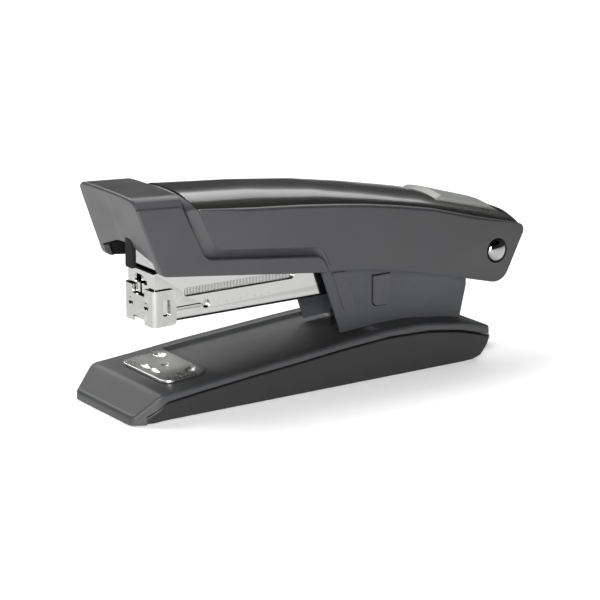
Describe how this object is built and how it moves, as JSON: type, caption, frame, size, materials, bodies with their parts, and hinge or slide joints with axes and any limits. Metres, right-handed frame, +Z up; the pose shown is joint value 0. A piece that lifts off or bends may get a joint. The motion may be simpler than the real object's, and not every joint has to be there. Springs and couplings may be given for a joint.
{
  "type": "stapler",
  "caption": "Desktop stapler with a hinged magazine, spring-loaded handle, rotating anvil and sprung release buttons.",
  "frame": {"origin": "centre of the overall length and width, on the surface the stapler stands on", "axes": "+X from the nose to the tail, +Y to the right seen from the tail, +Z up"},
  "size_m": [0.1414, 0.0404, 0.0653],
  "materials": {
    "charcoal_plastic": "moulded satin, fine grain",
    "stippled_plastic": "moulded, stippled",
    "dark_plastic": "moulded satin",
    "gloss_insert": "glossy",
    "black_plastic": "moulded",
    "rubber_pad": "ribbed",
    "nickel": "nickel plated",
    "staple_steel": "drawn wire",
    "spring_steel": "drawn",
    "anvil_nickel": "brushed nickel",
    "zinc_steel": "zinc plated"
  },
  "bodies": {
    "base": {"base_upper_cover": "charcoal_plastic", "base_lower_body": "dark_plastic", "base_steel_plate": "zinc_steel", "base_bottom_pad": "rubber_pad", "base_screws": "zinc_steel", "staple_remover": "zinc_steel", "hinge_bracket": "zinc_steel", "bracket_rivets": "zinc_steel", "hinge_pin": "nickel", "pillar_shroud": "stippled_plastic", "pillar_strips": "charcoal_plastic", "return_spring": "spring_steel"},
    "anvil": {"anvil_plate": "anvil_nickel", "anvil_post": "anvil_nickel", "anvil_clip": "spring_steel", "anvil_spring": "spring_steel"},
    "side_button_left": {"side_button_left": "charcoal_plastic"},
    "side_button_right": {"side_button_right": "charcoal_plastic"},
    "return_lever": {"return_lever": "zinc_steel"},
    "magazine": {"magazine_channel": "nickel", "front_cap": "nickel", "cap_rivets": "nickel", "staple_rail": "nickel", "staple_strip": "staple_steel", "guide_rod": "nickel", "rod_stop": "black_plastic", "pusher_spring": "spring_steel"},
    "pusher": {"pusher": "black_plastic"},
    "handle": {"handle_hood": "charcoal_plastic", "handle_cover": "charcoal_plastic", "top_insert": "gloss_insert", "handle_frame": "zinc_steel", "driver_blade": "spring_steel", "driver_block": "black_plastic", "handle_spring": "spring_steel", "release_spring": "spring_steel", "pivot_bushes": "black_plastic"},
    "release_button": {"release_button": "charcoal_plastic"}
  },
  "joints": [
    {"name": "lifter_press", "type": "hinge", "parent": "base", "child": "return_lever", "pos_m": [0.05875, 0, 0.033], "axis": [0, 1, 0], "range_deg": [-7.1, 0], "stiffness_Nm_per_rad": 0.6, "springref_deg": 28.65, "deforming": ["return_spring"]},
    {"name": "magazine_open", "type": "hinge", "parent": "return_lever", "child": "magazine", "pos_m": [0.05875, 0, 0.033], "axis": [0, 1, 0], "range_deg": [0, 60]},
    {"name": "handle_swing", "type": "hinge", "parent": "magazine", "child": "handle", "pos_m": [0.05875, 0, 0.033], "axis": [0, 1, 0], "range_deg": [-5.4, 45], "stiffness_Nm_per_rad": 0.4, "springref_deg": 5.73, "deforming": ["handle_spring"]},
    {"name": "pusher_slide", "type": "slide", "parent": "magazine", "child": "pusher", "axis": [1, 0, 0], "range_m": [0, 0.022], "stiffness_N_per_m": 40, "springref_m": -0.03, "deforming": ["pusher_spring"]},
    {"name": "anvil_turn", "type": "hinge", "parent": "base", "child": "anvil", "pos_m": [-0.05015, 0, 0.00971], "axis": [-0.0797, 0, 0.9968], "range_deg": [0, 180]},
    {"name": "release_press", "type": "slide", "parent": "handle", "child": "release_button", "axis": [0, 0, -1], "range_m": [0, 0.0015], "stiffness_N_per_m": 300, "springref_m": -0.003, "deforming": ["release_spring"]},
    {"name": "side_button_left_press", "type": "slide", "parent": "base", "child": "side_button_left", "axis": [0, 1, 0], "range_m": [0, 0.0011], "stiffness_N_per_m": 400, "springref_m": -0.002},
    {"name": "side_button_right_press", "type": "slide", "parent": "base", "child": "side_button_right", "axis": [0, -1, 0], "range_m": [0, 0.0011], "stiffness_N_per_m": 400, "springref_m": -0.002}
  ]
}
